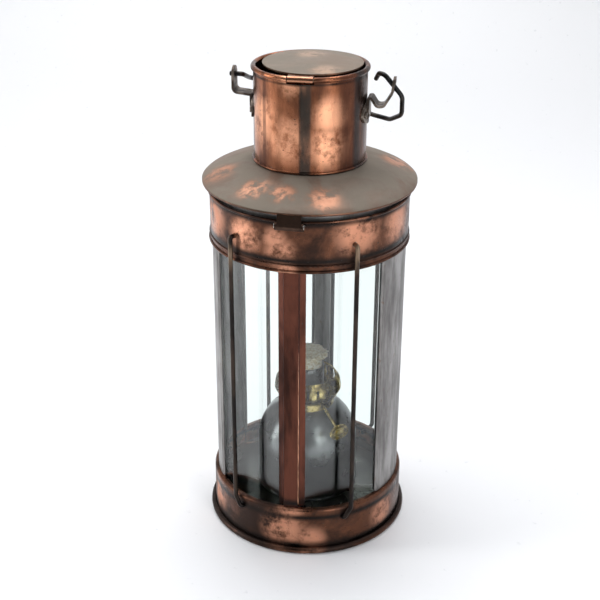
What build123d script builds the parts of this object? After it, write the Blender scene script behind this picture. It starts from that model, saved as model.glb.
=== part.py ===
from build123d import *
from math import atan2, cos, degrees, radians, sin, sqrt, tan
import os

# A round copper ship lantern with a hexagonal glass cage and an oil lamp inside, in millimetres.
# The origin is on the lantern's axis at the level it stands on, +Z up. The roof hinge is at -Y,
# and the two ears of the carrying bail are at -X and +X.

sheet = 0.8            # thickness of the copper sheet
solder_gap = 0.05      # between sheets that are soldered together
swing_gap = 0.3        # between pieces that move past each other
pin_fit = 0.06         # radial clearance of a hinge or spindle on its pin
far = 400.0            # reaches past the whole lantern, for cuts

# Base pan and its raised floor
pan_radius = 53.5
pan_height = 27.5
pan_lip_width = 3.0
pan_lip_bend = 1.6
base_bead_radius = 1.9
base_wire_radius = 1.1
base_bead_offset = 0.7         # how far the bead's centre stands outside the wall
base_bead_centre = 1.8         # its height, a little under its radius, so that it has a flat to stand on
floor_drop = 11.5              # from the lip down to the floor
floor_flange = 5.0

# Hexagonal glass cage: corners at -90, -30, 30, 90, 150 and 210 degrees
cage_gap = 1.5                 # from the side plates in to the corners of the hexagon
glass_thickness = 2.0
pane_corner_gap = 1.2          # from each edge of a pane to the corner
pane_foot_gap = 0.6            # from the floor to the pane
pane_in_band = 4.8             # how far the panes reach up inside the band
glass_gap = 0.1
strip_in_band = 8.8            # how far stanchions and side plates reach up inside it
plate_gap = 0.1                # from the side plates out to the band
plate_lip = 1.6                # width of a side plate's folded channel
plate_lip_gap = 0.4            # from a channel's back to the corner
stanchion_face = 7.5
stanchion_gap = 0.4            # from the stanchion's face to the band
stanchion_wing = 3.2
keeper_leg = 5.5

# Upper band
band_inset = 1.1               # how much narrower the band is than the pan
band_height = 27.8
band_top = 195.0
band_bead_radius = 0.8
band_line_radius = 0.55
band_line_rise = 4.2           # from the band's lower edge

# Guard rods, one in front of each pane
rod_radius = 1.2
rod_stand = 0.6                # between a rod and the wall
rod_angle = 35.5               # from the hinge side, and from the back, to each rod
rod_in_band = 13.8             # its top hook, above the band's lower edge
rod_foot_drop = 6.0            # its foot, below the pan's lip
rod_foot_shift = 4.0           # the foot hooks in towards the stanchion
rod_bend = 3.0
rod_inside = 1.6               # how far its ends reach inside the wall
rod_hole_gap = 0.12

# Roof: a shallow dome that hinges at the front, with a collar that drops into the band
roof_overhang = 3.6            # beyond the band
roof_lift = 3.4                # above the band
roof_hem_radius = 0.9
roof_shoulder_in = 3.0         # in from the rim, and how far above it
roof_shoulder_rise = 3.9
roof_crown_in = 13.0
roof_crown_rise = 8.2
roof_neck_gap = 0.2            # between the dome's neck and the chimney
roof_neck_rise = 11.7
collar_gap = 1.6               # between the collar and the band
collar_drop = 6.0              # into the band
tab_width = 16.0
hinge_pin_radius = 1.2
hinge_axis_out = 3.6           # from the band
hinge_axis_drop = 1.7          # below the band's top
hinge_length = 14.2
hinge_roof_knuckle = 12.0
knuckle_wall = 0.85
bracket_drop = 2.2

# Chimney with a rolled rim, a lapped seam and a small hinged lid
chimney_radius = 28.9
chimney_sheet = 0.7
chimney_foot_drop = 3.4        # how far the chimney reaches down through the dome
foot_bead_radius = 0.8
chimney_height = 47.9          # from the dome's neck to the rim
rim_bead_radius = 1.4
rim_bead_inset = 0.2
seam_step = 0.6
lid_inset = 3.5                # from the chimney in to the lid's edge
lid_rise = 3.2                 # its top above the rim
lid_crown = 1.0
lid_offset = 1.2
lid_sheet = 0.8
lid_pin_radius = 0.9
lid_pin_seat = 1.0
tab_length = 12.6
lug_width = 5.0
lug_drop = 11.0                # its foot below the rim

# Ears: riveted straps that carry the bail
ear_drop = 22.0                # below the rim
ear_plate_thickness = 1.0
ear_half_width = 9.5
ear_half_height = 5.5
ear_strap_thickness = 1.2
ear_strap_width = 8.6
left_eye_out = 9.2             # from the chimney, and above the ear's plate
left_eye_rise = 16.0
right_eye_out = 12.7
right_eye_rise = 14.4
left_eye_radius = 1.8
right_eye_radius = 3.2
rivet_radius = 0.9
rivet_head_radius = 1.6
rivet_spread = 6.4
bail_wire_radius = 1.2

# Oil lamp: tin font, brass burner, round wick and its thumbwheel
font_radius = 27.4
font_foot_gap = 0.1
font_wall_height = 28.9
font_dome_height = 22.4
font_dome_mid = (5.5, 14.9)    # in from the wall and up from the shoulder
font_neck_radius = 12.5
font_sheet = 0.5
font_foot_bead = 0.7
collar_height = 3.2
burner_sheet = 0.6
bowl_radius = 18.3
bowl_rim_radius = 15.4
bowl_height = 13.0
slot_count = 20
slot_width = 1.5
slot_height = 6.0
tube_radius = 8.6
tube_sheet = 0.6
tube_rise = 22.2               # above the font
wick_rise = 9.6                # above the tube
wick_foot_gap = 13.9           # above the font's foot
wheel_angle = -53.7
wheel_out = 9.6                # beyond the font
wheel_drop = 1.4               # below the top of the font's dome
spindle_slope = 17.0
spindle_radius = 0.8
spindle_start = 10.6           # distance of its inner end from the lamp's axis
wheel_radius = 5.3
wheel_thickness = 1.6
wheel_teeth = 24

# Worked out from the sizes above
floor_height = pan_height - floor_drop
band_radius = pan_radius - band_inset
band_bottom = band_top - band_height
band_line_height = band_bottom + band_line_rise
plate_radius = band_radius - sheet - plate_gap
stanchion_front = band_radius - sheet - stanchion_gap
hex_side = plate_radius - cage_gap
pane_width = hex_side - 2 * pane_corner_gap
pane_top = band_bottom + pane_in_band
strip_top = band_bottom + strip_in_band
plate_lip_edge = hex_side / 2 - plate_lip_gap
rod_circle = max(pan_radius, band_radius) + rod_radius + rod_stand
rod_top = band_bottom + rod_in_band
rod_foot = pan_height - rod_foot_drop
roof_radius = band_radius + roof_overhang
roof_bottom = band_top + roof_lift
roof_shoulder = (roof_radius - roof_shoulder_in, roof_bottom + roof_shoulder_rise)
roof_crown = (roof_radius - roof_crown_in, roof_bottom + roof_crown_rise)
roof_neck = (chimney_radius + roof_neck_gap, roof_bottom + roof_neck_rise)
collar_radius = band_radius - sheet - collar_gap
collar_bottom = band_top - collar_drop
hinge_axis_y = -band_radius - hinge_axis_out
hinge_axis_z = band_top - hinge_axis_drop
chimney_inner = chimney_radius - chimney_sheet
chimney_foot = roof_neck[1] - chimney_foot_drop
rim_height = roof_neck[1] + chimney_height
rim_bead_circle = chimney_radius - rim_bead_inset
lid_pin_y = -chimney_inner
lid_radius = chimney_radius - lid_inset
lid_height = rim_height + lid_rise
lug_foot = rim_height - lug_drop
ear_height = rim_height - ear_drop
left_x = chimney_radius + left_eye_out
left_z = ear_height + left_eye_rise
right_x = chimney_radius + right_eye_out
right_z = ear_height + right_eye_rise
pane_apothem = hex_side * cos(radians(30))
pane_outer = pane_apothem + glass_thickness / 2
pane_inner = pane_apothem - glass_thickness / 2
pane_bottom = floor_height + pane_foot_gap
pane_angles = {"front_right": -60, "front_left": -120, "back_right": 60, "back_left": 120}
strip_bottom = pan_height + solder_gap
wing_inner = pane_outer + glass_gap
knuckle_radius = hinge_pin_radius + pin_fit + knuckle_wall
hinge_reach = knuckle_radius - hinge_axis_y
lid_knuckle = lid_pin_radius + pin_fit + chimney_sheet
lamp_foot = floor_height + font_foot_gap
font_shoulder = lamp_foot + font_wall_height
font_dome_top = font_shoulder + font_dome_height
burner_base = font_dome_top + collar_height + 0.5
tube_top = font_dome_top + tube_rise
wick_top = tube_top + wick_rise
wick_bottom = lamp_foot + wick_foot_gap
wheel_reach = font_radius + wheel_out
wheel_height = font_dome_top - wheel_drop
os.makedirs("parts", exist_ok=True)


def write(name, shape):
    """Writes one node: a single solid, or a compound of separate solids."""
    solids = shape.solids()
    export_step(solids[0] if len(solids) == 1 else Compound(solids), f"parts/{name}.step")


def turned(face):
    """A solid turned about the lantern's axis from a face drawn with x = radius and y = height."""
    return revolve(Plane.XZ * face, axis=Axis.Z)


def bent(line, thickness, side=Side.LEFT):
    """The section of a sheet whose one surface follows a line."""
    return make_face(offset(line, amount=thickness, side=side).edges())


def rect(low, high):
    """A rectangle between two corners."""
    return Pos((low[0] + high[0]) / 2, (low[1] + high[1]) / 2) * Rectangle(high[0] - low[0], high[1] - low[1])


def block(low, high):
    """A box between two corners."""
    size = [b - a for a, b in zip(low, high)]
    return Pos(*[(a + b) / 2 for a, b in zip(low, high)]) * Box(*size)


def tube(inner, outer, bottom, top):
    return turned(rect((inner, bottom), (outer, top)))


def bead(circle_radius, height, radius):
    return turned(Pos(circle_radius, height) * Circle(radius))


def rod(start, end, radius):
    """A round bar between two points."""
    way = Vector(*end) - Vector(*start)
    return extrude(Plane(origin=start, z_dir=way) * Circle(radius), way.length)


def wire(points, radii, radius):
    """A round wire bent through points."""
    path = FilletPolyline(*points, radius=radii)
    section = Plane(origin=path @ 0, z_dir=path % 0) * Circle(radius)
    return sweep(section, path=path)


def plan_strip(points, thickness, bottom, top):
    """An upright folded strip, from the plan line of one of its surfaces."""
    return Pos(0, 0, bottom) * extrude(bent(Polyline(*points), thickness), top - bottom)


def side_strip(points, thickness, width, bends):
    """A strip bent in the XZ plane, from the line of one surface, centred on y = 0."""
    section = Plane.XZ * bent(FilletPolyline(*points, radius=bends), thickness)
    return extrude(section, width / 2, both=True)


# Base pan, with the wire that its lower edge is rolled round
pan_line = FilletPolyline((pan_radius, 3.0), (pan_radius, pan_height),
                          (pan_radius - pan_lip_width, pan_height), radius=pan_lip_bend)
bead_circle = pan_radius + base_bead_offset
base_bead = Pos(bead_circle, base_bead_centre) * (Circle(base_bead_radius) - Circle(base_wire_radius))
base_pan = turned(bent(pan_line, sheet)) + turned(base_bead - rect((0, -far), (far, 0)))
base_wire = bead(bead_circle, base_bead_centre, base_wire_radius)
floor_radius = pan_radius - sheet - solder_gap
floor_line = FilletPolyline((floor_radius, floor_height - floor_flange), (floor_radius, floor_height),
                            (0, floor_height), radius=pan_lip_bend)
pan_floor = turned(bent(floor_line, sheet))
write("base_wire", base_wire)
write("pan_floor", pan_floor)

# Glass panes
for place, angle in pane_angles.items():
    pane = block((pane_inner, -pane_width / 2, pane_bottom), (pane_outer, pane_width / 2, pane_top))
    write(f"pane_{place}", Rot(0, 0, angle) * pane)


# Side plates, each a curved sheet whose two upright edges are folded into channels for the glass
def side_plate():
    edge = degrees(atan2(plate_lip_edge - sheet / 2, wing_inner + sheet / 2))
    opening = 60 - edge
    ring = tube(plate_radius - sheet, plate_radius, strip_bottom, strip_top)
    reach = 2 * plate_radius
    spread = reach * tan(radians(opening))
    wedge = make_face(Polyline((0, 0), (reach, -spread), (reach, spread), close=True))
    plate = ring & extrude(wedge, strip_top + 1)
    web = pane_width / 2 + glass_gap
    for angle, way in ((-60, 1), (60, -1)):
        lip = block((wing_inner, plate_lip_edge - plate_lip, strip_bottom),
                    (wing_inner + sheet, plate_lip_edge, strip_top))
        back = block((pane_inner - glass_gap - sheet, web, strip_bottom),
                     (wing_inner + sheet / 2, web + sheet, strip_top))
        inner = block((pane_inner - glass_gap - sheet, web - plate_lip + sheet, strip_bottom),
                      (pane_inner - glass_gap, web + sheet, strip_top))
        channel = lip + back + inner
        plate += Rot(0, 0, angle) * (channel if way > 0 else mirror(channel, Plane.XZ))
    return plate


right_plate = side_plate()
write("side_plate_right", right_plate)
write("side_plate_left", Rot(0, 0, 180) * right_plate)

# Stanchions at the front and back corners: a raised face with a wing against each pane
step = stanchion_face / 2 + 0.6
corner = (wing_inner + sheet - step * sin(radians(30))) / cos(radians(30))
wing = (step + stanchion_wing * cos(radians(30)), corner - stanchion_wing * sin(radians(30)))
right_half = [(stanchion_face / 2, stanchion_front), (step, corner), wing]
outline = [(-x, -y) for x, y in reversed(right_half)] + [(x, -y) for x, y in right_half]
stanchion = plan_strip(outline, sheet, strip_bottom, strip_top)
keeper_face = pane_inner - glass_gap
keeper_corner = keeper_face / cos(radians(30))
leg = (keeper_leg * cos(radians(30)), -keeper_corner + keeper_leg * sin(radians(30)))
keeper = plan_strip([(-leg[0], leg[1]), (0, -keeper_corner), leg], sheet, strip_bottom, strip_top)
for place, turn in (("front", 0), ("back", 180)):
    write(f"stanchion_{place}", Rot(0, 0, turn) * stanchion)
    write(f"keeper_{place}", Rot(0, 0, turn) * keeper)

# Upper band, with a rolled edge above and below and one raised line
bead_line = band_radius - sheet + solder_gap + band_bead_radius
band = tube(band_radius - sheet, band_radius, band_bottom + band_bead_radius, band_top - band_bead_radius)
band += bead(bead_line, band_bottom + band_bead_radius, band_bead_radius)
band += bead(bead_line, band_top - band_bead_radius, band_bead_radius)
band += bead(band_radius, band_line_height, band_line_radius) - tube(0, band_radius - sheet, 0, far)


# Guard rods, hooked through holes in the band and in the pan
def guard_rod(turn, toward):
    a = radians(turn)
    shift = toward * rod_foot_shift
    top_in = band_radius - sheet - rod_inside
    foot_in = pan_radius - sheet - rod_inside
    flat = [(top_in, 0, rod_top), (rod_circle, 0, rod_top), (rod_circle, 0, rod_foot + 2 * rod_bend),
            (rod_circle, shift, rod_foot), (foot_in, shift, rod_foot)]
    points = [(r * cos(a) - s * sin(a), r * sin(a) + s * cos(a), z) for r, s, z in flat]
    foot_bend = 0.45 * (rod_circle - foot_in)
    return wire(points, [0.99 * rod_bend / 2, rod_bend, foot_bend], rod_radius), points


hole_radius = rod_radius + rod_hole_gap
rod_places = {"front_left": (-90 - rod_angle, 1), "front_right": (-90 + rod_angle, -1),
              "back_right": (90 - rod_angle, 1), "back_left": (90 + rod_angle, -1)}
for place, (turn, toward) in rod_places.items():
    guard, points = guard_rod(turn, toward)
    write(f"guard_rod_{place}", guard)
    band -= rod(points[0], points[1], hole_radius)
    base_pan -= rod(points[-1], points[-2], hole_radius)
write("base_pan", base_pan)
write("upper_band", band)

# Roof hinge: a bracket with two end knuckles on the band, one knuckle on the roof's leaf
hinge_half = hinge_length / 2
roof_half = hinge_roof_knuckle / 2
knuckle_side = (hinge_length - hinge_roof_knuckle) / 2 - swing_gap / 2


def across(low, high, radius):
    """A bar along X about the roof hinge's axis."""
    return rod((low, hinge_axis_y, hinge_axis_z), (high, hinge_axis_y, hinge_axis_z), radius)


bracket = tube(band_radius + solder_gap, band_radius + solder_gap + sheet, hinge_axis_z - bracket_drop,
               hinge_axis_z)
bracket &= block((-hinge_half, -far, 0), (hinge_half, 0, far))
for side in (-1, 1):
    low, high = sorted((side * hinge_half, side * (hinge_half - knuckle_side)))
    arm = block((low, hinge_axis_y, hinge_axis_z - knuckle_radius),
                (high, -band_radius - solder_gap - sheet / 2, hinge_axis_z - knuckle_radius + sheet))
    bracket += across(low, high, knuckle_radius) + arm
bracket -= across(-hinge_half, hinge_half, hinge_pin_radius)
bracket -= bead(bead_line, band_top - band_bead_radius, band_bead_radius + solder_gap)
write("hinge_bracket", bracket)
write("hinge_pin", across(-hinge_half - 0.4, hinge_half + 0.4, hinge_pin_radius))

# Roof dome, its hem, and the collar under it
dome_arc = ThreePointArc(roof_neck, roof_crown, roof_shoulder)
hem_centre = (roof_radius - roof_hem_radius, roof_bottom + roof_hem_radius)
shoulder_arc = TangentArc(roof_shoulder, (roof_radius, roof_bottom + 1.6), tangent=dome_arc % 1)
roof_dome = turned(bent(dome_arc + shoulder_arc, sheet, Side.RIGHT)) + bead(*hem_centre, roof_hem_radius)
dome_centre = dome_arc.arc_center
under_dome = sqrt((dome_arc.radius - sheet) ** 2 - (collar_radius - dome_centre.X) ** 2) + dome_centre.Y
roof_collar = tube(collar_radius - sheet, collar_radius, collar_bottom, under_dome - solder_gap)
leaf_foot = (hinge_axis_y - knuckle_radius, hinge_axis_z)
leaf_head = (-hem_centre[0] - knuckle_wall, hem_centre[1])
leaf_side = make_face(Polyline(leaf_foot, leaf_head, (leaf_head[0] + knuckle_wall, leaf_head[1]),
                               (leaf_foot[0] + knuckle_wall, leaf_foot[1]), close=True))
leaf = extrude(Plane.YZ * leaf_side, roof_half, both=True) + across(-roof_half, roof_half, knuckle_radius)
leaf -= across(-roof_half, roof_half, hinge_pin_radius + pin_fit)
leaf -= bead(*hem_centre, roof_hem_radius + solder_gap)
leaf = leaf.solids().sort_by(Axis.Z)[0]
tab = tube(roof_radius + solder_gap, hinge_reach, roof_bottom + 0.2, roof_bottom + 0.2 + sheet)
tab += tube(roof_radius + solder_gap, roof_radius + solder_gap + sheet, roof_bottom + 0.2, roof_bottom + 3.0)
tab &= block((-tab_width / 2, 0, 0), (tab_width / 2, far, far))
write("roof_dome", roof_dome)
write("roof_collar", roof_collar)
write("roof_leaf", leaf)
write("lift_tab", tab)

# Chimney, whose sheet laps over itself at the front seam
wall_top = rim_height - rim_bead_radius / 2
chimney = tube(chimney_radius - chimney_sheet, chimney_radius, chimney_foot, wall_top)
foot_line = roof_neck[1] + foot_bead_radius + solder_gap
chimney += bead(chimney_radius + 0.1, foot_line, foot_bead_radius)
lap_shift = seam_step / cos(radians(30))
lap = Rot(0, 0, -60) * Pos(lap_shift, 0) * Circle(chimney_radius) - Circle(chimney_radius - chimney_sheet / 2)
lap &= rect((-far, -far), (0, -chimney_radius * sin(radians(30))))
chimney += Pos(0, 0, foot_line) * extrude(lap, wall_top - foot_line)
chimney += bead(rim_bead_circle, rim_height, rim_bead_radius)
notch_half = tab_length / 2 + 2 * swing_gap
chimney -= block((-notch_half, -far, rim_height - lid_knuckle - 2 * swing_gap), (notch_half, lid_pin_y / 2, far))
lid_pin_half = notch_half + lid_pin_seat


def lid_bar(half, radius):
    """A bar along X about the lid hinge's axis."""
    return rod((-half, lid_pin_y, rim_height), (half, lid_pin_y, rim_height), radius)


chimney -= lid_bar(lid_pin_half, lid_pin_radius)
write("lid_pin", lid_bar(lid_pin_half, lid_pin_radius))

# Lid, its curled hinge tab, and the lugs that it rests on
lid_arc = ThreePointArc((0, lid_height), (lid_radius / 2, lid_height - lid_crown / 4),
                        (lid_radius, lid_height - lid_crown))
lid_section = bent(lid_arc, lid_sheet, Side.RIGHT) & rect((0, 0), (2 * lid_radius, 2 * lid_height))
lid = Pos(lid_offset, 0, 0) * turned(lid_section)
tab_back = -lid_radius + 7
under_lid = lid_height - lid_crown - lid_sheet
tab_side = make_face(Polyline((lid_pin_y, rim_height + lid_knuckle), (tab_back, under_lid + 0.2),
                              (tab_back, under_lid + 0.2 - chimney_sheet),
                              (lid_pin_y, rim_height + lid_knuckle - chimney_sheet), close=True))
tab_strip = extrude(Plane.YZ * tab_side, tab_length / 2, both=True)
lid_tab = tab_strip + lid_bar(tab_length / 2, lid_knuckle) - lid_bar(tab_length / 2, lid_pin_radius + pin_fit)
lid_tab -= Pos(lid_offset, 0, 0) * tube(0, lid_radius, under_lid - 1, far) & Pos(0, 0, solder_gap) * lid
write("lid_disc", lid)
write("lid_tab", lid_tab - lid)
lug_sag = chimney_inner - sqrt(chimney_inner ** 2 - (lug_width / 2) ** 2)
lug_out = chimney_inner - solder_gap - lug_sag
lug_in = rim_bead_circle - rim_bead_radius - solder_gap - lug_sag
lug_top = under_lid - swing_gap
lug_line = [(lug_out, lug_foot), (lug_out, lug_foot + 3.5), (lug_in, lug_foot + 6.0), (lug_in, lug_top),
            (lug_in - 3.6, lug_top)]
lug = side_strip(lug_line, chimney_sheet, lug_width, 0.5)
write("lid_rest_lugs", Part() + [Rot(0, 0, turn) * lug for turn in (30, 90, 150)])


# Ears: an oval plate on the wall of the chimney and a strap that leaves it and turns up to an eye
ear_outside = chimney_radius + solder_gap + ear_plate_thickness


def ear_plate():
    ring = tube(chimney_radius + solder_gap, ear_outside, ear_height - far / 2, ear_height + far / 2)
    oval = Plane.YZ * Pos(0, ear_height) * Ellipse(ear_half_width, ear_half_height)
    return ring & extrude(oval, 2 * ear_outside)


def rivet_place(side, turn):
    a = radians(90 - 90 * side + turn)
    return [(r * cos(a), r * sin(a), ear_height) for r in
            (chimney_inner - 0.5, ear_outside, ear_outside + 0.8)]


def ear(line, bends, eye, eye_radius, slope):
    """slope is how much the bail's pivot line rises on its way out through this eye."""
    strap = side_strip(line, ear_strap_thickness, ear_strap_width, bends)
    tip = Plane.YZ * Pos(0, eye[1] - far / 2) * Rectangle(ear_strap_width, far)
    tip += Plane.YZ * Pos(0, eye[1]) * Circle(ear_strap_width / 2)
    strap &= extrude(tip, far)
    way = 2 * ear_strap_width
    hole = rod((eye[0] - way, 0, eye[1] - slope * way), (eye[0] + way, 0, eye[1] + slope * way), eye_radius)
    return ear_plate() + (strap - hole)


strap_root = chimney_radius + solder_gap + 0.4
pivot_slope = (left_z - right_z) / (left_x + right_x)
left_line = [(left_x + ear_strap_thickness / 2, left_z + 9), (left_x + ear_strap_thickness / 2, ear_height + 8.0),
             (strap_root, ear_height + 7.0), (strap_root, ear_height - 2.5)]
right_line = [(right_x + 0.8, right_z + 7), (right_x - 0.4, right_z - 3.4), (right_x - 4.2, ear_height + 4.6),
              (right_x - 7.0, ear_height + 4.2), (strap_root + 2.4, ear_height + 8.6),
              (strap_root, ear_height + 8.2), (strap_root, ear_height - 2.5)]
ears = {"left": mirror(ear(left_line, [2.0, 0.9], (left_x, left_z), left_eye_radius, pivot_slope), Plane.YZ),
        "right": ear(right_line, [1.8, 1.6, 2.0, 1.2, 0.9], (right_x, right_z), right_eye_radius,
                     -pivot_slope)}
rivet_turn = degrees(rivet_spread / chimney_radius)
rivets = []
for side, place, head_edge in ((-1, "left", 0), (1, "right", -1)):
    for turn in (-rivet_turn, rivet_turn):
        inner, seat, outer = rivet_place(side, turn)
        shank = rod(inner, outer, rivet_radius)
        head = rod(seat, outer, rivet_head_radius)
        rivets.append(shank + fillet(head.edges().filter_by(GeomType.CIRCLE).sort_by(Axis.X)[head_edge], 0.5))
        chimney -= shank
        ears[place] -= shank
    write(f"ear_{place}", ears[place])
write("ear_rivets", Part() + rivets)
write("chimney", chimney)

# Carrying bail, bent by hand from one wire; it rests lowered behind the chimney
def behind(turn, out, rise):
    """A point at an angle round the chimney, out from its wall and above the ears."""
    reach = chimney_radius + out
    return (reach * cos(radians(turn)), reach * sin(radians(turn)), ear_height + rise)


bail_points = [(-left_x - 3.4, 0, left_z), (-left_x + 3.0, 0, left_z), (-left_x + 3.4, 13, left_z - 5)]
bail_points += [behind(135.5, 8.9, 5.5), behind(110.9, 7.5, 2.0), behind(88.4, 7.4, -2.5),
                behind(66.6, 8.8, -6.9), behind(45.0, 10.7, -9.6), behind(24.2, 13.8, -8.6)]
bail_points += [(right_x + 4.4, 6.5, right_z - 17.0), (right_x + 5.0, -0.4, right_z - 5.6),
                (right_x - 4.2, 0.4, right_z + 4.8), (right_x - 7.6, 5, right_z + 4.2),
                (right_x - 9.6, 9.6, right_z + 0.2)]
bail_radii = [2.2, 8, 9, 12, 12, 12, 12, 10, 9, 4.2, 3.0, 3.0]
write("bail", wire(bail_points, bail_radii, bail_wire_radius))

# Lamp font: a tin can with a domed shoulder and a neck for the burner
font_line = Polyline((0, lamp_foot), (font_radius, lamp_foot), (font_radius, font_shoulder))
font_mid = (font_radius - font_dome_mid[0], font_shoulder + font_dome_mid[1])
font_line += ThreePointArc((font_radius, font_shoulder), font_mid, (font_neck_radius, font_dome_top))
font_line += Line((font_neck_radius, font_dome_top), (font_neck_radius, font_dome_top + collar_height))
font_ring = Pos(font_radius, lamp_foot + font_foot_bead) * Circle(font_foot_bead)
lamp_font = turned(bent(font_line, font_sheet) + font_ring)
collar_inner = font_neck_radius + solder_gap
font_collar = tube(collar_inner, collar_inner + 1.8, font_dome_top - 2, burner_base)
font_collar = (font_collar - lamp_font).solids().sort_by(Axis.Z)[-1]
write("lamp_font", lamp_font)
write("font_collar", font_collar)

# Burner: an open brass bowl with upright slots, on a base plate that holds the wick tube
bowl_line = FilletPolyline((font_neck_radius, burner_base + solder_gap),
                           (bowl_radius - 2.4, burner_base + solder_gap), (bowl_radius, burner_base + 5),
                           (bowl_radius - 0.8, burner_base + 10), (bowl_rim_radius, burner_base + bowl_height),
                           radius=1.6)
burner = turned(bent(bowl_line, burner_sheet))
burner += tube(tube_radius + solder_gap, font_neck_radius + 0.1, burner_base + solder_gap,
               burner_base + solder_gap + burner_sheet)
slot_foot = burner_base + 4
slot = block((bowl_rim_radius - 2, -slot_width / 2, slot_foot), (far, slot_width / 2, slot_foot + slot_height))
wheel_a = radians(wheel_angle)
fall = radians(spindle_slope)
wheel_way = Vector(cos(wheel_a) * cos(fall), sin(wheel_a) * cos(fall), -sin(fall))
wheel_centre = Vector(wheel_reach * cos(wheel_a), wheel_reach * sin(wheel_a), wheel_height)
spindle_length = (wheel_reach - spindle_start) / cos(fall)
spindle_end = wheel_centre - wheel_way * spindle_length
for turn in range(slot_count):
    angle = wheel_angle + (turn + 0.5) * 360 / slot_count
    burner -= Rot(0, 0, angle) * slot
burner -= rod(spindle_end, wheel_centre, spindle_radius + pin_fit)
write("burner", burner)
wick_tube = tube(tube_radius - tube_sheet, tube_radius, font_dome_top - 3, tube_top)
write("wick_tube", wick_tube)
wick_radius = tube_radius - tube_sheet - swing_gap
wick = Pos(0, 0, wick_bottom) * extrude(Circle(wick_radius), wick_top - wick_bottom)
wick = fillet(wick.edges().sort_by(Axis.Z)[-1], 3)
write("wick", wick)

# Thumbwheel that raises the wick, knurled round its edge, on its spindle
wheel_plane = Plane(origin=wheel_centre, z_dir=wheel_way)
wheel_face = Circle(wheel_radius)
for tooth in range(wheel_teeth):
    wheel_face -= Rot(0, 0, tooth * 360 / wheel_teeth) * Pos(wheel_radius + 0.15, 0) * Circle(0.45)
wheel = extrude(wheel_plane * wheel_face, wheel_thickness)
wheel -= extrude(wheel_plane * (Circle(wheel_radius - 1.2) - Circle(2.2)), wheel_thickness).moved(
    Location(wheel_way * (wheel_thickness - 0.4)))
wheel -= rod(wheel_centre - wheel_way, wheel_centre + wheel_way, spindle_radius)
write("wick_wheel", wheel)
write("wick_spindle", rod(spindle_end, wheel_centre + wheel_way, spindle_radius))
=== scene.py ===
import math
import random

import bmesh
import bpy
from mathutils import Matrix, Vector, noise


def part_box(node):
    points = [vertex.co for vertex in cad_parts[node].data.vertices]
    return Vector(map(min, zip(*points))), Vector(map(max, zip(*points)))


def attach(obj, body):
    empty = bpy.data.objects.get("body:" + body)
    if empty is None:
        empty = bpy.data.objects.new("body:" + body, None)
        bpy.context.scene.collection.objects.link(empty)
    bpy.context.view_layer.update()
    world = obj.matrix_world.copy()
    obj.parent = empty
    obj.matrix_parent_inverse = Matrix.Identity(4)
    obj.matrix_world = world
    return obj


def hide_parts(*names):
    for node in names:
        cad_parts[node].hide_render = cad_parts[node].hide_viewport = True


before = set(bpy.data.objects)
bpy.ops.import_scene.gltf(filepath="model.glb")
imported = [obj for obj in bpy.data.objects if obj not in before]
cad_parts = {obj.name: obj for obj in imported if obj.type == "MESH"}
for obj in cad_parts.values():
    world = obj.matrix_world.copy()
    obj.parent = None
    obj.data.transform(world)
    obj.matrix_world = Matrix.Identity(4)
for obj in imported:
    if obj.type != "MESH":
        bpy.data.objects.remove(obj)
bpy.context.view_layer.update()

# Studio: a white sweep of paper under and behind the lantern, a large soft light on each side and
# one above. The camera stands a little to the right of the roof hinge and looks down at 25 degrees.
view_turn = math.radians(10.5)
view_pitch = math.radians(25.23)
view_roll = math.radians(0.24)
view_place = Vector((-0.0048, -0.590, 0.4064))
studio = bpy.data.cameras.new("camera")
studio.sensor_width = 36
studio.lens = 71.64
studio.clip_start = 0.05
camera = bpy.data.objects.new("camera", studio)
bpy.context.scene.collection.objects.link(camera)
camera.matrix_world = (Matrix.Rotation(view_turn, 4, "Z") @ Matrix.Translation(view_place)
                       @ Matrix.Rotation(math.pi / 2 - view_pitch, 4, "X") @ Matrix.Rotation(view_roll, 4, "Z"))
bpy.context.scene.camera = camera
bpy.context.scene.view_settings.view_transform = "Standard"
bpy.context.scene.view_settings.look = "None"


def soft_light(name, place, aim, size, power):
    lamp = bpy.data.lights.new(name, "AREA")
    lamp.shape = "RECTANGLE"
    lamp.size, lamp.size_y = size
    lamp.energy = power
    holder = bpy.data.objects.new(name, lamp)
    bpy.context.scene.collection.objects.link(holder)
    holder.location = place
    holder.rotation_mode = "QUATERNION"
    holder.rotation_quaternion = (Vector(aim) - Vector(place)).to_track_quat("-Z", "Y")


soft_light("light_left", (-0.95, -0.25, 0.42), (0, 0, 0.12), (0.30, 0.75), 5.5)
soft_light("light_right", (0.62, -0.72, 0.42), (0, 0, 0.12), (0.24, 0.75), 3.6)
soft_light("light_top", (-0.1, 0.35, 1.15), (0, 0, 0.1), (1.0, 0.6), 8)
sky = bpy.data.worlds.new("studio")
bpy.context.scene.world = sky
sky.use_nodes = True
sky_tree = sky.node_tree
toward = sky_tree.nodes.new("ShaderNodeTexCoord").outputs["Generated"]
way = sky_tree.nodes.new("ShaderNodeSeparateXYZ")
sky_tree.links.new(toward, way.inputs[0])
shade = sky_tree.nodes.new("ShaderNodeMapRange")
shade.interpolation_type = "SMOOTHSTEP"
for socket, number in ((1, -0.75), (2, 0.25), (3, 0.10), (4, 1.05)):
    shade.inputs[socket].default_value = number
sky_tree.links.new(way.outputs[1], shade.inputs[0])
sky_tree.links.new(shade.outputs[0], sky_tree.nodes["Background"].inputs["Strength"])
sky_tree.nodes["Background"].inputs["Color"].default_value = (0.93, 0.95, 1.0, 1)


def shader(name):
    """A new material; returns it with its node tree, its Principled shader and its object coordinates."""
    made = bpy.data.materials.new(name)
    made.use_nodes = True
    tree = made.node_tree
    place = tree.nodes.new("ShaderNodeTexCoord").outputs["Object"]
    return made, tree, tree.nodes["Principled BSDF"], place


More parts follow.
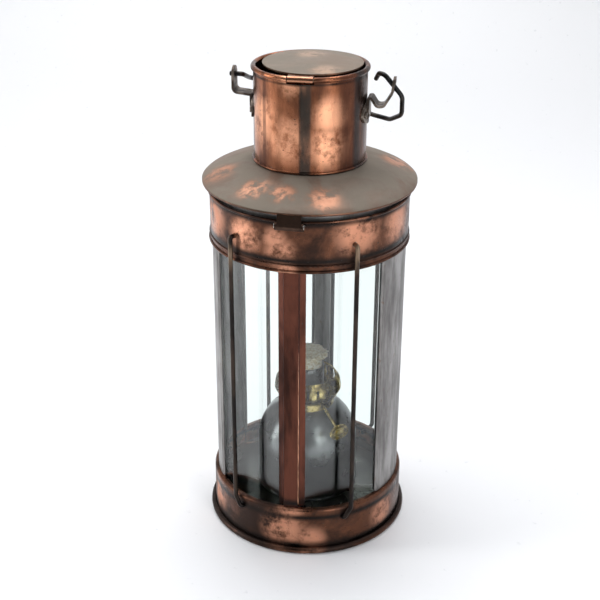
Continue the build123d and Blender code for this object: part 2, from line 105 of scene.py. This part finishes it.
def join(tree, kind, **links):
    """A new node whose inputs take either another node's output or a plain value."""
    node = tree.nodes.new(kind)
    for key, value in links.items():
        if key.startswith("i_"):
            socket = node.inputs[int(key[2:])] if key[2:].isdigit() else node.inputs[key[2:].replace("_", " ")]
            if isinstance(value, bpy.types.NodeSocket):
                tree.links.new(value, socket)
            else:
                socket.default_value = value
        else:
            setattr(node, key, value)
    return node


def clouds(tree, place, size, stretch=(1, 1, 1), detail=5, rough=0.55, twist=0.0):
    """Noise whose clouds are about size metres across, stretched along the axes; returns 0 to 1."""
    moved = join(tree, "ShaderNodeMapping", i_Vector=place, i_Scale=tuple(1 / s for s in stretch))
    made = join(tree, "ShaderNodeTexNoise", i_Vector=moved.outputs[0], i_Scale=1 / size, i_Detail=detail,
                i_Roughness=rough, i_Distortion=twist)
    return made.outputs["Fac"]


def level(tree, value, low, high, out_low=0.0, out_high=1.0):
    """Spreads the range low to high over out_low to out_high, clamped and eased."""
    made = join(tree, "ShaderNodeMapRange", interpolation_type="SMOOTHSTEP", i_0=value, i_1=low, i_2=high,
                i_3=out_low, i_4=out_high)
    return made.outputs[0]


def sums(tree, operation, a, b=0.0):
    return join(tree, "ShaderNodeMath", operation=operation, use_clamp=operation in ("ADD", "SUBTRACT"),
                i_0=a, i_1=b).outputs[0]


def blended(tree, share, first, second):
    """Two colours mixed by a share from 0 to 1."""
    node = tree.nodes.new("ShaderNodeMix")
    node.data_type = "RGBA"
    for socket, value in ((node.inputs[0], share), (node.inputs[6], first), (node.inputs[7], second)):
        if isinstance(value, bpy.types.NodeSocket):
            tree.links.new(value, socket)
        else:
            socket.default_value = (*value, 1) if isinstance(value, tuple) else value
    return node.outputs[2]


def relief(tree, shell, height, depth, under=None):
    """Raises the surface by height times depth metres, over any relief below it."""
    made = join(tree, "ShaderNodeBump", i_Height=height, i_Distance=depth, i_Strength=1.0)
    if under is not None:
        tree.links.new(under, made.inputs["Normal"])
    tree.links.new(made.outputs[0], shell.inputs["Normal"])
    return made.outputs[0]


paper, tree, shell, place = shader("white_paper")
tree.links.new(blended(tree, level(tree, clouds(tree, place, 0.006), 0.66, 0.74), (0.90, 0.905, 0.915),
                       (0.80, 0.81, 0.82)), shell.inputs["Base Color"])
shell.inputs["Roughness"].default_value = 0.42
sweep = bmesh.new()
sweep_half, sweep_back, sweep_bend = 1.6, 0.55, 0.35
profile = [(-1.4, 0.0), (sweep_back, 0.0)]
profile += [(sweep_back + sweep_bend * math.sin(a), sweep_bend * (1 - math.cos(a)))
            for a in (math.pi / 2 * k / 12 for k in range(1, 13))]
profile += [(sweep_back + sweep_bend, 1.6)]
rows = [[sweep.verts.new((side * sweep_half, y, z)) for side in (-1, 1)] for y, z in profile]
for a, b in zip(rows[:-1], rows[1:]):
    sweep.faces.new((a[0], a[1], b[1], b[0])).smooth = True
backdrop_mesh = bpy.data.meshes.new("paper_sweep")
sweep.to_mesh(backdrop_mesh)
backdrop = bpy.data.objects.new("paper_sweep", backdrop_mesh)
bpy.context.scene.collection.objects.link(backdrop)
backdrop.matrix_world = Matrix.Rotation(view_turn, 4, "Z")
backdrop.data.materials.append(paper)


# Base pan: spun copper with its lip rolled in and its foot wired. Handling has kept the copper bright in
# patches under the stanchion; the bright patches at the left and right sides are painted highlights where the
# side lamps catch it. The rest has gone brown to black, darkest in the bead.
def wear_and_highlight_patch(tree, place, centre, reach):
    """1 at a bright patch (worn copper, and in some places a painted highlight), falling to 0 at reach from it,
    with a ragged edge.
    """
    away = join(tree, "ShaderNodeVectorMath", operation="DISTANCE", i_0=place, i_1=centre).outputs["Value"]
    near = level(tree, away, 0.25 * reach, reach, 1.0, 0.0)
    return sums(tree, "MULTIPLY", near, level(tree, clouds(tree, place, 0.009, rough=0.7), 0.32, 0.56))


def on_wall(turn, radius, height):
    """A point on a round wall, by its angle in degrees."""
    return (radius * math.cos(math.radians(turn)), radius * math.sin(math.radians(turn)), height)


def old_copper(name, dark=(0.040, 0.024, 0.019), brown=(0.13, 0.055, 0.032), bright=(0.62, 0.29, 0.18), wear_and_highlights=(),
               grime_and_shade=(), streak=(1, 1, 1), amount=0.5, gloss=0.26, dull=0.5, dust=0.0, dents=0.0004):
    """Copper with brown oxide, bright patches (worn copper, and painted highlights where the lamps catch it),
    black lines at given heights (grime, and painted shade under rims and beads) and dust on top.
    """
    made, tree, shell, place = shader(name)
    broad = clouds(tree, place, 0.030, streak, detail=6, rough=0.6, twist=0.6)
    fine = clouds(tree, place, 0.0035, streak, detail=4, rough=0.65)
    mixed = sums(tree, "ADD", broad, sums(tree, "MULTIPLY", fine, 0.25))
    oxide = level(tree, mixed, amount + 0.02, amount + 0.28)
    color = blended(tree, oxide, dark, brown)
    shine = 0.0
    for centre, reach in wear_and_highlights:
        patch = wear_and_highlight_patch(tree, place, centre, reach)
        shine = patch if shine == 0.0 else sums(tree, "MAXIMUM", shine, patch)
    if wear_and_highlights:
        color = blended(tree, shine, color, bright)
    spots = level(tree, clouds(tree, place, 0.0016, detail=2), 0.68, 0.74)
    color = blended(tree, sums(tree, "MULTIPLY", spots, 0.7), color, (0.02, 0.015, 0.013))
    height = join(tree, "ShaderNodeSeparateXYZ", i_0=place).outputs[2]
    dirt_and_shade = 0.0
    for level_at, spread in grime_and_shade:
        near = level(tree, sums(tree, "ABSOLUTE", join(tree, "ShaderNodeMath", operation="SUBTRACT", i_0=height,
                                                        i_1=level_at).outputs[0]), 0.0, spread, 1.0, 0.0)
        near = sums(tree, "MULTIPLY", near, level(tree, broad, 0.25, 0.6, 0.5, 1.0))
        dirt_and_shade = near if dirt_and_shade == 0.0 else sums(tree, "MAXIMUM", dirt_and_shade, near)
    if grime_and_shade:
        color = blended(tree, dirt_and_shade, color, (0.016, 0.014, 0.013))
    matt = level(tree, oxide, 0.0, 1.0, dull, gloss)
    metal = level(tree, spots, 0.0, 1.0, 1.0, 0.4)
    if dust:
        facing = join(tree, "ShaderNodeNewGeometry").outputs["Normal"]
        up = join(tree, "ShaderNodeSeparateXYZ", i_0=facing).outputs[2]
        lies = sums(tree, "MULTIPLY", level(tree, up, 0.15, 0.70),
                    level(tree, broad, 0.42, 0.66, dust, dust * 0.45))
        lies = lies if not wear_and_highlights else sums(tree, "MULTIPLY", lies, level(tree, shine, 0.0, 1.0, 1.0, 0.25))
        color = blended(tree, lies, color, (0.215, 0.180, 0.140))
        matt = sums(tree, "ADD", matt, sums(tree, "MULTIPLY", lies, 0.25))
        metal = sums(tree, "MULTIPLY", metal, level(tree, lies, 0.0, 1.0, 1.0, 0.15))
    tree.links.new(color, shell.inputs["Base Color"])
    tree.links.new(matt, shell.inputs["Roughness"])
    tree.links.new(metal, shell.inputs["Metallic"])
    low = relief(tree, shell, clouds(tree, place, 0.022, detail=2), dents * 2)
    relief(tree, shell, clouds(tree, place, 0.0012, streak, detail=3), dents * 0.12, low)
    return made


def finish_node(name, material):
    """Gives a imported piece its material; its own normals already follow the curves it was turned from."""
    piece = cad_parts[name]
    piece.data.materials.clear()
    piece.data.materials.append(material)
    return piece


pan_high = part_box("base_pan")[1]
pan_radius = pan_high.x - 0.0025
pan_copper = old_copper(
    "pan_copper", amount=0.50, grime_and_shade=[(0.0045, 0.004), (0.0225, 0.003)],
    wear_and_highlights=[(on_wall(-94, pan_radius, 0.014), 0.017), (on_wall(-78, pan_radius, 0.008), 0.012),
          (on_wall(-150, pan_radius, 0.016), 0.014), (on_wall(-28, pan_radius, 0.014), 0.013),
          (on_wall(-90, pan_radius - 0.002, pan_high.z), 0.010), (on_wall(60, pan_radius, 0.012), 0.020),
          (on_wall(150, pan_radius, 0.015), 0.018)])
finish_node("base_pan", pan_copper)
foot_wire = old_copper("foot_wire_copper", amount=0.3)
finish_node("base_wire", foot_wire)


# Pan floor: a tinned disc soldered into the pan, oily and dark with a low shine.
floor_tin, tree, shell, place = shader("oily_tin")
stain = clouds(tree, place, 0.028, detail=5, twist=1.2)
tree.links.new(blended(tree, level(tree, stain, 0.40, 0.62), (0.030, 0.032, 0.030), (0.16, 0.165, 0.15)),
               shell.inputs["Base Color"])
tree.links.new(level(tree, stain, 0.3, 0.7, 0.10, 0.30), shell.inputs["Roughness"])
shell.inputs["Metallic"].default_value = 0.75
relief(tree, shell, clouds(tree, place, 0.02, detail=2), 0.0004)
finish_node("pan_floor", floor_tin)

# Side plates: curved copper sheets tinned all over, with their edges folded round the glass. The tin has
# gone to a mottled grey, with darker runs down it and copper showing through at the folds.
side_tin, tree, shell, place = shader("mottled_side_tin")
runs = clouds(tree, place, 0.010, (1, 1, 5), detail=6, rough=0.65)
specks = clouds(tree, place, 0.002, (1, 1, 1.6), detail=3)
grey = blended(tree, level(tree, runs, 0.32, 0.70), (0.13, 0.122, 0.118), (0.33, 0.318, 0.31))
grey = blended(tree, level(tree, specks, 0.62, 0.72, 0.0, 0.6), grey, (0.16, 0.10, 0.075))
tree.links.new(grey, shell.inputs["Base Color"])
tree.links.new(level(tree, runs, 0.3, 0.7, 0.50, 0.34), shell.inputs["Roughness"])
shell.inputs["Metallic"].default_value = 0.8
relief(tree, shell, specks, 0.00008, relief(tree, shell, clouds(tree, place, 0.03, detail=2), 0.0007))
for name in ("side_plate_left", "side_plate_right"):
    finish_node(name, side_tin)

# Stanchions: folded copper strips at the front and back corners, red-brown and nearly matt on the face,
# with plain tinned keeper strips inside that hold the glass against them.
strip_copper = old_copper("stanchion_copper", dark=(0.040, 0.018, 0.014), brown=(0.125, 0.045, 0.030),
                          amount=0.46, streak=(1, 1, 4), gloss=0.34, dull=0.55, grime_and_shade=[(0.030, 0.004)])
back_copper = old_copper("back_stanchion_copper", dark=(0.045, 0.048, 0.050), brown=(0.085, 0.088, 0.090),
                         amount=0.44, streak=(1, 1, 4), gloss=0.34, dull=0.5)
finish_node("stanchion_front", strip_copper)
finish_node("stanchion_back", back_copper)
for name in ("keeper_front", "keeper_back"):
    finish_node(name, side_tin)


def new_piece(name, builder, material, smooth=True):
    """Makes a piece from a bmesh and gives it a material."""
    mesh = bpy.data.meshes.new(name)
    bmesh.ops.recalc_face_normals(builder, faces=builder.faces)
    builder.to_mesh(mesh)
    builder.free()
    piece = bpy.data.objects.new(name, mesh)
    bpy.context.scene.collection.objects.link(piece)
    mesh.materials.append(material)
    if smooth:
        mesh.shade_smooth()
    return piece


# Torn edge: along the right fold of the front stanchion the sheet was cut roughly, and the raw copper
# shows as a thin bright ragged line, heaviest in its lower half.
def ragged_bar(name, along, low, high, steps, thick, material, seed):
    """An upright sliver whose thickness wanders; along gives its x and y, thick its half width."""
    rough = bmesh.new()
    rings = []
    for k in range(steps + 1):
        z = low + (high - low) * k / steps
        swell = 0.55 + 0.45 * noise.noise(Vector((seed, 0, z * 260)))
        fade = min(1.0, 0.25 + 1.5 * (1 - k / steps)) * min(1.0, 6 * (1 - k / steps))
        wander = 0.00018 * noise.noise(Vector((seed + 7, 3, z * 180)))
        half = thick * max(0.12, swell * fade)
        rings.append([rough.verts.new((along[0] + wander + dx * half, along[1] + dy * half * 0.6, z))
                      for dx, dy in ((-1, 0), (0, -1), (1, 0), (0, 1))])
    for a, b in zip(rings[:-1], rings[1:]):
        for i in range(4):
            rough.faces.new((a[i], a[(i + 1) % 4], b[(i + 1) % 4], b[i]))
    rough.faces.new(rings[0][::-1])
    rough.faces.new(rings[-1])
    return new_piece(name, rough, material)


raw_copper = old_copper("raw_copper", dark=(0.42, 0.18, 0.10), brown=(0.90, 0.48, 0.30), amount=0.3, gloss=0.3,
                        dull=0.45)
face_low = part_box("stanchion_front")[0]
torn = ragged_bar("torn_edge", (0.00385, face_low.y + 0.0003), face_low.z + 0.002, face_low.z + 0.100,
                  150, 0.00045, raw_copper, 2.0)
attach(torn, "lantern")

# Panes: four flat sheets of old window glass, with ground edges that catch the light and a little dust.
pane_glass, tree, shell, place = shader("window_glass")
shell.inputs["Base Color"].default_value = (0.93, 0.97, 0.955, 1)
shell.inputs["Transmission Weight"].default_value = 1.0
shell.inputs["IOR"].default_value = 1.45
film = clouds(tree, place, 0.02, (1, 1, 2.5), detail=6, rough=0.7)
tree.links.new(level(tree, film, 0.50, 0.80, 0.0, 0.04), shell.inputs["Roughness"])
for side in ("front_left", "front_right", "back_left", "back_right"):
    finish_node(f"pane_{side}", pane_glass)

# Upper band: a copper hoop with a rolled edge above and below and a raised line, worn bright below the hinge
# and black round the rod holes. The bright patches on the left and right are painted highlights where the side
# lamps catch it, and the dark line along its top edge, under the roof's hem, is painted shadow.
band_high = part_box("upper_band")[1]
band_radius = band_high.x - 0.001
band_copper = old_copper(
    "band_copper", amount=0.50, grime_and_shade=[(0.1735, 0.0035), (0.1930, 0.0025)],
    wear_and_highlights=[(on_wall(-99, band_radius, 0.1845), 0.0085), (on_wall(-96, band_radius, 0.1775), 0.011),
          (on_wall(-148, band_radius, 0.185), 0.016), (on_wall(-118, band_radius, 0.183), 0.013),
          (on_wall(-52, band_radius, 0.187), 0.017), (on_wall(-22, band_radius, 0.186), 0.015),
          (on_wall(-92, band_radius, 0.168), 0.007), (on_wall(70, band_radius, 0.182), 0.020),
          (on_wall(140, band_radius, 0.182), 0.018)])
finish_node("upper_band", band_copper)

# Guard rods: iron wire, hooked through holes in the band and the pan. Brown-black and smooth, lighter brown
# towards the top bends.
iron, tree, shell, place = shader("guard_iron")
rust = clouds(tree, place, 0.008, (1, 1, 3), detail=5)
height = join(tree, "ShaderNodeSeparateXYZ", i_0=place).outputs[2]
lighter_top = sums(tree, "MULTIPLY", level(tree, height, 0.160, 0.176), level(tree, rust, 0.38, 0.60))
dark_iron = blended(tree, level(tree, rust, 0.4, 0.65), (0.016, 0.013, 0.012), (0.050, 0.036, 0.028))
tree.links.new(blended(tree, lighter_top, dark_iron, (0.26, 0.18, 0.12)), shell.inputs["Base Color"])
tree.links.new(level(tree, rust, 0.3, 0.7, 0.28, 0.45), shell.inputs["Roughness"])
shell.inputs["Metallic"].default_value = 0.9
relief(tree, shell, clouds(tree, place, 0.0015, detail=3), 0.00006)
for side in ("front_left", "front_right", "back_left", "back_right"):
    finish_node(f"guard_rod_{side}", iron)

# Roof hinge: a bracket on the band, a leaf under the roof's hem, and a pin whose cut ends are bright.
hinge_copper = old_copper("hinge_copper", brown=(0.10, 0.060, 0.042), amount=0.50, gloss=0.36, dull=0.5)
for name in ("hinge_bracket", "roof_leaf", "lift_tab"):
    finish_node(name, hinge_copper)
bright_pin, tree, shell, place = shader("cut_steel")
tree.links.new(blended(tree, level(tree, clouds(tree, place, 0.002), 0.4, 0.7), (0.85, 0.82, 0.76),
                       (0.45, 0.38, 0.30)), shell.inputs["Base Color"])
shell.inputs["Metallic"].default_value = 1.0
shell.inputs["Roughness"].default_value = 0.28
finish_node("hinge_pin", bright_pin)

# Roof: a shallow copper dome, dull with settled dust, copper-pink where it has been rubbed and along its
# hem; a plain collar below it keeps it in the band.
roof_copper = old_copper(
    "roof_copper", dark=(0.070, 0.042, 0.030), brown=(0.17, 0.085, 0.055), bright=(0.60, 0.30, 0.19),
    amount=0.46, gloss=0.40, dull=0.55, dust=1.0, dents=0.0006,
    wear_and_highlights=[(on_wall(-118, 0.046, 0.2055), 0.013), (on_wall(-97, 0.045, 0.2055), 0.011),
          (on_wall(-72, 0.048, 0.2050), 0.013), (on_wall(-158, 0.047, 0.2050), 0.014),
          (on_wall(20, 0.047, 0.2050), 0.016), (on_wall(110, 0.045, 0.2055), 0.020)])
finish_node("roof_dome", roof_copper)
finish_node("roof_collar", side_tin)

# Chimney: a copper tube whose sheet laps over itself at the front, with a rolled rim and a foot bead. It is the
# brightest copper here. Its bright patches on the left and right are painted highlights, its upright brown and
# dark bands, one of them beside the seam, are painted dark reflections, and the black lines under the beads are
# painted shade.
chimney_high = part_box("chimney")[1]
chimney_wall = 0.0292
foot_line = 0.2110
rim_line = chimney_high.z - 0.0014
chimney_copper = old_copper(
    "chimney_copper", dark=(0.085, 0.036, 0.022), brown=(0.36, 0.135, 0.066), bright=(0.80, 0.38, 0.22),
    amount=0.46, streak=(1, 1, 5), gloss=0.22, dull=0.36,
    grime_and_shade=[(foot_line - 0.0008, 0.0012), (rim_line - 0.0024, 0.0012)],
    wear_and_highlights=[(on_wall(-103, chimney_wall, 0.228), 0.016), (on_wall(-140, chimney_wall, 0.235), 0.020),
          (on_wall(-62, chimney_wall, 0.224), 0.015), (on_wall(-60, chimney_wall, 0.240), 0.013),
          (on_wall(-98, chimney_wall, rim_line), 0.012), (on_wall(120, chimney_wall, 0.235), 0.022)])


def upright_band(tree, place, turn, half, soft):
    """1 within half degrees of an angle round the lantern, easing to 0 over soft degrees more."""
    flat = join(tree, "ShaderNodeVectorMath", operation="MULTIPLY", i_0=place, i_1=(1, 1, 0)).outputs["Vector"]
    way = join(tree, "ShaderNodeVectorMath", operation="NORMALIZE", i_0=flat).outputs["Vector"]
    near = join(tree, "ShaderNodeVectorMath", operation="DOT_PRODUCT", i_0=way,
                i_1=(math.cos(math.radians(turn)), math.sin(math.radians(turn)), 0)).outputs["Value"]
    return level(tree, near, math.cos(math.radians(half + soft)), math.cos(math.radians(half)))


def paint_dark_reflections(material, bands):
    """Lays dark upright bands (angle, half width, softness, share, colour) over a material's colour; these are
    painted dark reflections.
    """
    tree = material.node_tree
    shell = tree.nodes["Principled BSDF"]
    place = tree.nodes.new("ShaderNodeTexCoord").outputs["Object"]
    ragged = clouds(tree, place, 0.004, (1, 1, 3))
    for turn, half, soft, share, tone in bands:
        under = shell.inputs["Base Color"].links[0].from_socket
        band = upright_band(tree, place, turn, half, soft)
        band = sums(tree, "MULTIPLY", band, level(tree, ragged, 0.25, 0.60, share * 0.6, share))
        tree.links.new(blended(tree, band, under, tone), shell.inputs["Base Color"])


# Painted dark reflections on the chimney: dark upright bands beside the seam, to the left and right of the
# front and at both edges of the tube; the last entry darkens the back.
paint_dark_reflections(chimney_copper, [
    (-85.0, 3.5, 3.5, 0.9, (0.045, 0.045, 0.040)), (-131.0, 0.6, 3.0, 0.75, (0.06, 0.022, 0.013)),
    (-118.0, 4.0, 9.0, 0.55, (0.12, 0.045, 0.022)), (-36.0, 9.0, 9.0, 0.75, (0.075, 0.030, 0.020)),
    (-16.0, 12.0, 6.0, 0.85, (0.035, 0.033, 0.032)), (-168.0, 10.0, 5.0, 0.8, (0.045, 0.040, 0.038)),
    (60.0, 25.0, 20.0, 0.5, (0.09, 0.04, 0.025))])
finish_node("chimney", chimney_copper)
finish_node("lid_rest_lugs", hinge_copper)
finish_node("lid_pin", iron)

# Lid: a slightly domed disc over the chimney, tan with soot and dust, on a curled tab at the front.
lid_copper = old_copper("lid_copper", dark=(0.12, 0.085, 0.060), brown=(0.24, 0.165, 0.115),
                        bright=(0.50, 0.34, 0.24), amount=0.44, gloss=0.36, dull=0.45, dust=0.8,
                        wear_and_highlights=[(on_wall(-60, 0.020, 0.2605), 0.012), (on_wall(100, 0.012, 0.2605), 0.012)])
finish_node("lid_disc", lid_copper)
tab_copper = old_copper("tab_copper", dark=(0.12, 0.06, 0.04), brown=(0.52, 0.25, 0.15), amount=0.36,
                        gloss=0.26, dull=0.4)
finish_node("lid_tab", tab_copper)

# Ears: riveted straps, grey-brown from tinning that has worn off.
strap_metal, tree, shell, place = shader("worn_strap")
patina = clouds(tree, place, 0.006, detail=5)
tree.links.new(blended(tree, level(tree, patina, 0.4, 0.62), (0.060, 0.045, 0.036), (0.27, 0.22, 0.18)),
               shell.inputs["Base Color"])
tree.links.new(level(tree, patina, 0.3, 0.7, 0.48, 0.34), shell.inputs["Roughness"])
shell.inputs["Metallic"].default_value = 0.85
relief(tree, shell, clouds(tree, place, 0.002, detail=3), 0.00012)
for name in ("ear_left", "ear_right", "ear_rivets"):
    finish_node(name, strap_metal)

# Bail: one iron wire bent by hand, blackened.
bail_iron, tree, shell, place = shader("bail_iron")
scale = clouds(tree, place, 0.005, detail=5)
tree.links.new(blended(tree, level(tree, scale, 0.42, 0.66), (0.020, 0.020, 0.021), (0.085, 0.075, 0.066)),
               shell.inputs["Base Color"])
tree.links.new(level(tree, scale, 0.3, 0.7, 0.30, 0.45), shell.inputs["Roughness"])
shell.inputs["Metallic"].default_value = 0.9
relief(tree, shell, clouds(tree, place, 0.0014, detail=3), 0.00008)
finish_node("bail", bail_iron)

# Lamp font: a tin can with a domed shoulder, dull grey; its side below the shoulder is painted near black, a
# painted dark reflection of the dark pan floor.
font_tin, tree, shell, place = shader("font_tin")
bloom = clouds(tree, place, 0.012, detail=6, rough=0.6)
height = join(tree, "ShaderNodeSeparateXYZ", i_0=place).outputs[2]
# painted dark reflection: below the shoulder the colour turns near black
side = level(tree, height, 0.040, 0.050, 0.30, 1.0)
tone = blended(tree, level(tree, bloom, 0.36, 0.64), (0.17, 0.175, 0.18), (0.25, 0.255, 0.26))
tree.links.new(blended(tree, side, (0.035, 0.036, 0.040), tone), shell.inputs["Base Color"])
tree.links.new(level(tree, bloom, 0.3, 0.7, 0.26, 0.34), shell.inputs["Roughness"])
shell.inputs["Metallic"].default_value = 0.9
relief(tree, shell, clouds(tree, place, 0.012, detail=1), 0.00012)
finish_node("lamp_font", font_tin)
finish_node("wick_tube", font_tin)

# Burner, collar and thumbwheel: thin pressed brass, olive with tarnish.
old_brass, tree, shell, place = shader("olive_brass")
tarnish = clouds(tree, place, 0.004, detail=5, rough=0.6)
tree.links.new(blended(tree, level(tree, tarnish, 0.38, 0.62), (0.13, 0.095, 0.030), (0.62, 0.49, 0.21)),
               shell.inputs["Base Color"])
tree.links.new(level(tree, tarnish, 0.3, 0.7, 0.42, 0.22), shell.inputs["Roughness"])
shell.inputs["Metallic"].default_value = 1.0
relief(tree, shell, clouds(tree, place, 0.0012, detail=2), 0.00005)
for name in ("burner", "font_collar", "wick_wheel", "wick_spindle"):
    finish_node(name, old_brass)

# Wick: a thick round cotton rope that fills the tube and ends in a frayed, singed tuft.
cotton, tree, shell, place = shader("frayed_cotton")
singe = level(tree, join(tree, "ShaderNodeSeparateXYZ", i_0=place).outputs[2], 0.0910, 0.0990)
lint = clouds(tree, place, 0.0016, detail=4)
warm = blended(tree, level(tree, lint, 0.35, 0.65), (0.56, 0.44, 0.25), (0.93, 0.89, 0.78))
tree.links.new(blended(tree, sums(tree, "MULTIPLY", singe, 0.35), warm, (0.78, 0.66, 0.44)),
               shell.inputs["Base Color"])
shell.inputs["Roughness"].default_value = 0.95
shell.inputs["Sheen Weight"].default_value = 0.4
relief(tree, shell, lint, 0.0004)
wick_low, wick_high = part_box("wick")
rope_radius = wick_high.x - 0.0002
strands, turns = 7, 3.0
rope_sides, rope_steps = 42, 60
rope = bmesh.new()
rope_rings = []
rope_top = wick_high.z - 0.0040
for k in range(rope_steps + 1):
    z = wick_low.z + (rope_top - wick_low.z) * k / rope_steps
    ring = []
    for i in range(rope_sides):
        a = 2 * math.pi * i / rope_sides
        r = rope_radius * (0.94 + 0.06 * math.cos(strands * (a - turns * 2 * math.pi * k / rope_steps)))
        ring.append(rope.verts.new((r * math.cos(a), r * math.sin(a), z)))
    rope_rings.append(ring)
for a, b in zip(rope_rings[:-1], rope_rings[1:]):
    for i in range(rope_sides):
        rope.faces.new((a[i], a[(i + 1) % rope_sides], b[(i + 1) % rope_sides], b[i]))
rope.faces.new(rope_rings[0][::-1])
rope.faces.new(rope_rings[-1])
tuft = bmesh.ops.create_icosphere(rope, subdivisions=5, radius=1.0)["verts"]
tuft_middle = wick_high.z - 0.0026
tuft_radius, tuft_droop, tuft_crown = 0.0098, 0.0030, 0.0024
for v in tuft:
    way = v.co.normalized()
    lumps = noise.noise(way * 2.3 + Vector((4, 1, 0))) * 0.22 + noise.noise(way * 7 + Vector((9, 2, 5))) * 0.12
    lumps += noise.noise(way * 18) * 0.05
    swell = Vector((tuft_radius, tuft_radius, tuft_droop if way.z < 0 else tuft_crown))
    v.co = way * swell * (1 + lumps)
    v.co.z += tuft_middle
wick = new_piece("cotton_wick", rope, cotton)
draw = random.Random(11)
fray = bmesh.new()
for k in range(260):
    a = draw.uniform(0, 2 * math.pi)
    start = draw.uniform(0.2, 1.0) * 0.0068
    rise = draw.uniform(-0.1, 0.7)
    reach = draw.uniform(0.0008, 0.0022)
    start *= 1.3
    at = Vector((start * math.cos(a), start * math.sin(a), tuft_middle + 0.0012 * (1 - start / tuft_radius)))
    way = Vector((math.cos(a) * draw.uniform(0.3, 1), math.sin(a) * draw.uniform(0.3, 1), rise)).normalized()
    curl = Vector((draw.uniform(-1, 1), draw.uniform(-1, 1), draw.uniform(-0.6, 0.8))) * 0.55
    side_way = way.orthogonal().normalized()
    other = way.cross(side_way)
    last = None
    for step in range(6):
        t = step / 5
        p = at + (way + curl * t) * reach * t
        half = 0.00016 * (1 - 0.55 * t)
        ring = [fray.verts.new(p + (side_way * math.cos(b) + other * math.sin(b)) * half)
                for b in (0, 2.094, 4.189)]
        if last:
            for i in range(3):
                fray.faces.new((last[i], last[(i + 1) % 3], ring[(i + 1) % 3], ring[i]))
        else:
            fray.faces.new(ring[::-1])
        last = ring
    fray.faces.new(last)
fibres = new_piece("wick_fibres", fray, cotton)
for piece in (wick, fibres):
    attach(piece, "wick")
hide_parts("wick")
